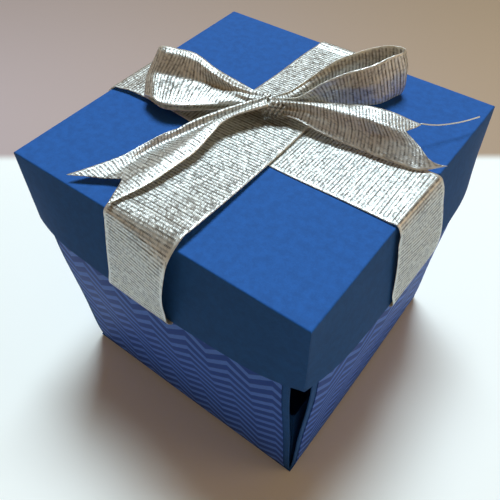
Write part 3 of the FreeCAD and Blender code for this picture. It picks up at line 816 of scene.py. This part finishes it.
def right_tail_rows():
    """Rows of the tail that lies over the lower band, each from its back to its front edge."""
    return [
        [(-2.4, 7.1, 104.4), (-1.5, 5.9, 106.4), (0, 4.4, 106.8),
         (0.8, 4.3, 105.4), (1.8, 4, 104.2)],
        [(6.2, 10.3, 104.4), (7.7, 8.3, 108), (8.8, 7.1, 108.4),
         (9.4, 6.5, 106.2), (9.1, 5, 103.9)],
        [(11.6, 12.7, 104.6), (13.3, 10.5, 108.6), (14.7, 8.8, 108.7),
         (15.9, 7.3, 105.9), (16.5, 5.2, 102.9)],
        [(17.5, 14.3, 106.6), (18.5, 13, 109.2), (20.8, 9.7, 109),
         (22.8, 8.3, 105.7), (23.8, 5.7, 102.2)],
        [(23.9, 14.9, 109.8), (24.9, 13.5, 109.6), (26.7, 10.8, 109.2),
         (28.9, 9.6, 105.9), (30.3, 6.6, 101.7)],
        [(29, 16.2, 110.2), (30.2, 14.4, 109.9), (32.3, 11.1, 109.4),
         (34.8, 10.6, 106), (36.6, 6.9, 101.7)],
        [(33.6, 18, 109.4), (34.7, 16.2, 109.1), (36.8, 12.9, 108.6),
         (40.4, 11.8, 105.8), (42.5, 7.6, 101.7)],
        [(37.9, 19.3, 108.2), (38.8, 17.8, 107.9), (40.6, 14.9, 107.4),
         (44.9, 12.8, 105.2), (47.8, 8.7, 101.7)],
        [(41.3, 20.5, 107.2), (42.5, 19.3, 106.9), (44.7, 17.1, 106.2),
         (49, 12.8, 104.4), (53.4, 14.7, 102)],
    ]


def loose_thread_points():
    """The frayed thread that sticks out from the far tip of the right tail."""
    return [
        (40.8, 21, 107), (43.6, 23.9, 106), (45.9, 27.2, 105.2),
        (49, 31.8, 104.7), (51.1, 35.6, 104.5), (52.2, 37.8, 104.4),
    ]


def knot_rows():
    """Rows of the short wrap round the middle of the bow, one turn of it after another."""
    middle = Vector((0.9, 5.3, 104.7))
    lengthwise = Vector((0.93, 0.37, 0.0))
    sideways = lengthwise.cross(UP).normalized()
    upwards = sideways.cross(lengthwise)
    half_wide, half_tall, slant = 2.7, 2.3, 1.5
    places_and_girths = ((-3.6, 0.8), (-1.8, 1.0), (-0.2, 1.0), (1.2, 1.02), (2.4, 0.86))
    first, last, step = -125, 165, 29
    rows = []
    for degrees in range(first, last + 1, step):
        out, above = math.sin(math.radians(degrees)), math.cos(math.radians(degrees))
        rim = sideways * half_wide * out + upwards * half_tall * above
        rows.append([
            tuple(middle + rim * girth + lengthwise * (place + slant * above))
            for place, girth in places_and_girths
        ])
    return rows


# ------------------------------------------------ operators


class CARDBOX_OT_card(bpy.types.Operator):
    """Give the lid, the outer sheet, the inner sheet and the mats their card and paper"""

    bl_idname = "cardbox.card"
    bl_label = "Card and plain paper"

    def execute(self, context):
        look = context.scene.card_box_paper
        card = card_material(look)
        plain = plain_paper_material(look)
        for name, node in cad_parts.items():
            if name.startswith(("lid_sheet", "base_sheet", "inner_sheet")):
                dress(node, card)
            if name.startswith(("mat_", "floor_mat")):
                dress(node, plain)
        return {"FINISHED"}


class CARDBOX_OT_zigzag(bpy.types.Operator):
    """Print the zigzag on the four outer panels"""

    bl_idname = "cardbox.zigzag"
    bl_label = "Zigzag panels"

    def execute(self, context):
        look = context.scene.card_box_paper
        wide = zigzag_material(look, "zigzag_paper_x", "X")
        deep = zigzag_material(look, "zigzag_paper_y", "Y")
        for name, paper in (("front", wide), ("back", wide), ("right", deep), ("left", deep)):
            dress(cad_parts["panel_" + name], paper)
        return {"FINISHED"}


class CARDBOX_OT_bands(bpy.types.Operator):
    """Lay the two ribbon bands round the lid"""

    bl_idname = "cardbox.bands"
    bl_label = "Ribbon bands"

    def execute(self, context):
        look = context.scene.card_box_ribbon
        material = weave_material(look)
        wide = millimetres(look.wide)
        for name, node, rows in (
            ("upper_band", "ribbon_over", upper_band_rows()),
            ("lower_band", "ribbon_under", lower_band_rows()),
        ):
            route = Route((0, wide / 2, wide), rows)
            band = finished_cloth(name, [laid_ribbon(look, route)], look, material)
            settle(band, node)
        return {"FINISHED"}


class CARDBOX_OT_bow(bpy.types.Operator):
    """Tie the bow: two loops, two notched tails and the wrap round their middle"""

    bl_idname = "cardbox.bow"
    bl_label = "Ribbon bow"

    def execute(self, context):
        look = context.scene.card_box_ribbon
        wide = millimetres(look.bow_wide)
        wrap = Route(
            (0, 4.6, 9.2, 13.9, wide), knot_rows(), (0.3, 0.3), pleat_count=4, pleat_run=100.0
        )
        # A notch is given by its place across the ribbon and its share of the usual depth.
        routes_and_notches = [
            (Route((0, 2.8, 6.4, 10.3, 14.4, wide), lying_loop_rows(), (0.35, 1.1)), None),
            (Route((0, 7.4, 14.8, wide), standing_loop_rows(), (0.3, 0.9)), None),
            (Route((0, 4, 7, 13, wide), front_tail_rows(), (0.35, 0)), (0.6, 1.2)),
            (Route((0, 2.5, 7, 11.8, wide), right_tail_rows(), (0.4, 0)), (0.38, 0.8)),
            (wrap, None),
        ]
        start = 0.0
        parts = []
        for route, notch in routes_and_notches:
            parts.append(laid_ribbon(look, route, start, notch))
            start += route.long
        frayed = loose_thread(loose_thread_points())
        bow = finished_cloth("bow", parts, look, weave_material(look), frayed)
        settle(bow, "ribbon_bow")
        return {"FINISHED"}


class CARDBOX_OT_stage(bpy.types.Operator):
    """Set up the floor, the backdrop, the lamps and the camera"""

    bl_idname = "cardbox.stage"
    bl_label = "Stage"

    def execute(self, context):
        look = context.scene.card_box_stage
        make_backdrop(look)
        make_lights(look)
        make_camera(look)
        context.scene.view_settings.view_transform = "Standard"
        return {"FINISHED"}


def dress(node, material):
    """Give a piece one material all over."""
    node.data.materials.clear()
    node.data.materials.append(material)


def weave_material(look):
    """The ribbon's material, made once."""
    return bpy.data.materials.get("lame_weave") or ribbon_material(look)


def settle(cloth, node):
    """Put a finished length of ribbon in the place of its plain solid."""
    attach(cloth, "lid")
    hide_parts(node)


# ------------------------------------------------ stage, in metres

FLOOR_NEAR, FLOOR_EDGE, FLOOR_FAR = -2.0, 0.105, 1.2  # along the line of sight from the box
FLOOR_HALF = 2.5  # half the width of the floor
EDGE_SOFT, EDGE_SLANT = 0.004, 0.03  # softness and slope of the edge of floor and backdrop
WALL_CHANGE = 0.25  # distance over which the backdrop changes colour
# Painted shade: the backdrop darkens towards this colour farther from the box.
BACKDROP_SHADE = (0.2, 0.15, 0.1)  # colour that the backdrop fades towards
WARM_BOUNCE = (1.0, 0.84, 0.64)  # tint of the light that the floor sends back
KEY_SIZES, KEY_FAR = (0.76, 0.66), 2.0  # size of the large lamp and its distance from the lid
ROOM_LAMP_SIZES, ROOM_LAMP_PLACE = (1.2, 1.2), Vector((1.6, 0.9, 0.75))  # place from the lid
CAMERA_AIM = Vector((26.8, -41.3, 100)) * MM


def level_directions(turn):
    """Directions away from and to the right of someone who looks over the floor at that turn."""
    away = Vector((-math.sin(turn), math.cos(turn), 0))
    aside = Vector((math.cos(turn), math.sin(turn), 0))
    return away, aside


def make_backdrop(look):
    """Floor that runs on into a backdrop behind the box, square to the line of sight."""
    away, aside = level_directions(look.azimuth)
    made = bmesh.new()
    rows = [
        [made.verts.new(away * run + aside * side) for side in (-FLOOR_HALF, FLOOR_HALF)]
        for run in (FLOOR_NEAR, FLOOR_EDGE, FLOOR_FAR)
    ]
    for low, high in zip(rows, rows[1:]):
        made.faces.new((low[0], low[1], high[1], high[0]))
    mesh = bpy.data.meshes.new("floor")
    made.to_mesh(mesh)
    made.free()
    floor = placed("floor", mesh)
    dress(floor, floor_material(look, away, aside))


def floor_material(look, away, aside):
    """Pale floor, past its edge the backdrop: a colour on each side and painted shade farther away.
    """
    material, wiring, shader = new_material("floor_paint")
    place = wiring.object_place()
    run = wiring.vectors("DOT_PRODUCT", place, away, "Value")
    side = wiring.vectors("DOT_PRODUCT", place, aside, "Value")
    to_right = wiring.ramp(side, -WALL_CHANGE, WALL_CHANGE)
    wall = wiring.blend(to_right, solid(look.wall_left), solid(look.wall_right))
    # Painted shade: the backdrop darkens with distance from the box.
    backdrop_shade_share = wiring.ramp(run, FLOOR_EDGE, FLOOR_EDGE + WALL_CHANGE, 0.0, 0.5)
    wall = wiring.blend(backdrop_shade_share, wall, solid(BACKDROP_SHADE))
    past = wiring.maths("ADD", run, wiring.maths("MULTIPLY", side, EDGE_SLANT))
    past = wiring.ramp(past, FLOOR_EDGE - EDGE_SOFT, FLOOR_EDGE + EDGE_SOFT)
    seen = wiring.blend(past, solid(look.floor), wall)
    ray = wiring.node("ShaderNodeLightPath").outputs
    shown = wiring.maths("MAXIMUM", ray["Is Camera Ray"], ray["Is Glossy Ray"])
    lent = solid([value * tint for value, tint in zip(look.floor, WARM_BOUNCE)], look.bounce)
    wiring.fill(shader, {
        "Base Color": wiring.blend(shown, lent, seen),
        "Roughness": 0.9,
        "Specular IOR Level": 0.1,
    })
    return material


def soft_lamp(name, shape, sizes, watts, tint, spot, aim):
    """A flat lamp at a spot, turned to what it aims at."""
    lamp = bpy.data.lights.new(name, "AREA")
    lamp.shape = shape
    lamp.size, lamp.size_y = sizes
    lamp.energy, lamp.color = watts, tint
    made = placed(name, lamp)
    made.location = spot
    made.rotation_euler = (spot - aim).to_track_quat("Z", "Y").to_euler()


def make_lights(look):
    """One large soft lamp behind and above, a weak warm one and a dim warm room around."""
    aim = Vector((0, 0, LID_TOP))
    away, _ = level_directions(look.azimuth + look.key_side)
    to_key = away * math.cos(look.key_high) + UP * math.sin(look.key_high)
    key_place, fill_place = aim + to_key * KEY_FAR, aim + ROOM_LAMP_PLACE
    soft_lamp("window", "RECTANGLE", KEY_SIZES, look.key, look.key_colour, key_place, aim)
    soft_lamp("room_lamp", "DISK", ROOM_LAMP_SIZES, look.fill, look.fill_colour, fill_place, aim)
    world = bpy.data.worlds.new("room")
    world.use_nodes = True
    wiring = Wiring(world.node_tree)
    high = wiring.split(wiring.node("ShaderNodeTexCoord").outputs["Generated"])["Z"]
    glow = wiring.blend(wiring.ramp(high, 0.2, 0.5), solid(look.horizon), solid(look.ceiling))
    wiring.fill(world.node_tree.nodes["Background"], {"Color": glow})
    bpy.context.scene.world = world


def make_camera(look):
    """The camera, aimed at a point on the lid near its front edge."""
    turn = (
        Matrix.Rotation(look.azimuth, 4, "Z")
        @ Matrix.Rotation(math.pi / 2 - look.elevation, 4, "X")
        @ Matrix.Rotation(look.roll, 4, "Z")
    )
    lens = bpy.data.cameras.new("camera")
    lens.lens = look.lens
    lens.sensor_width = 36
    lens.clip_start = 0.01
    camera = placed("camera", lens)
    spot = CAMERA_AIM + turn.to_3x3() @ (UP * look.distance)
    camera.matrix_world = Matrix.Translation(spot) @ turn
    bpy.context.scene.camera = camera


# ------------------------------------------------ panel and registration


class CARDBOX_PT_panel(bpy.types.Panel):
    """Settings and steps of the card box"""

    bl_label = "Card Box"
    bl_idname = "CARDBOX_PT_panel"
    bl_space_type = "VIEW_3D"
    bl_region_type = "UI"
    bl_category = "Card Box"

    def draw(self, context):
        for steps, group in PANEL_ROWS:
            settings = getattr(context.scene, group)
            for name in settings.__annotations__:
                self.layout.prop(settings, name)
            for step in steps:
                self.layout.operator(step)


PANEL_ROWS = [
    (("cardbox.card", "cardbox.zigzag"), "card_box_paper"),
    (("cardbox.bands", "cardbox.bow"), "card_box_ribbon"),
    (("cardbox.stage",), "card_box_stage"),
]
GROUPS = {
    "card_box_paper": CardBoxPaper,
    "card_box_ribbon": CardBoxRibbon,
    "card_box_stage": CardBoxStage,
}
CLASSES = [
    *GROUPS.values(),
    CARDBOX_OT_card,
    CARDBOX_OT_zigzag,
    CARDBOX_OT_bands,
    CARDBOX_OT_bow,
    CARDBOX_OT_stage,
    CARDBOX_PT_panel,
]


def register():
    """Add the classes and the settings of the box."""
    for made in CLASSES:
        bpy.utils.register_class(made)
    for name, group in GROUPS.items():
        setattr(bpy.types.Scene, name, bpy.props.PointerProperty(type=group))


def unregister():
    """Take the settings and the classes away again."""
    for name in GROUPS:
        delattr(bpy.types.Scene, name)
    for made in reversed(CLASSES):
        bpy.utils.unregister_class(made)


def main():
    """Build everything."""
    register()
    bpy.ops.cardbox.card()
    bpy.ops.cardbox.zigzag()
    bpy.ops.cardbox.bands()
    bpy.ops.cardbox.bow()
    bpy.ops.cardbox.stage()


if __name__ == "__main__":
    main()
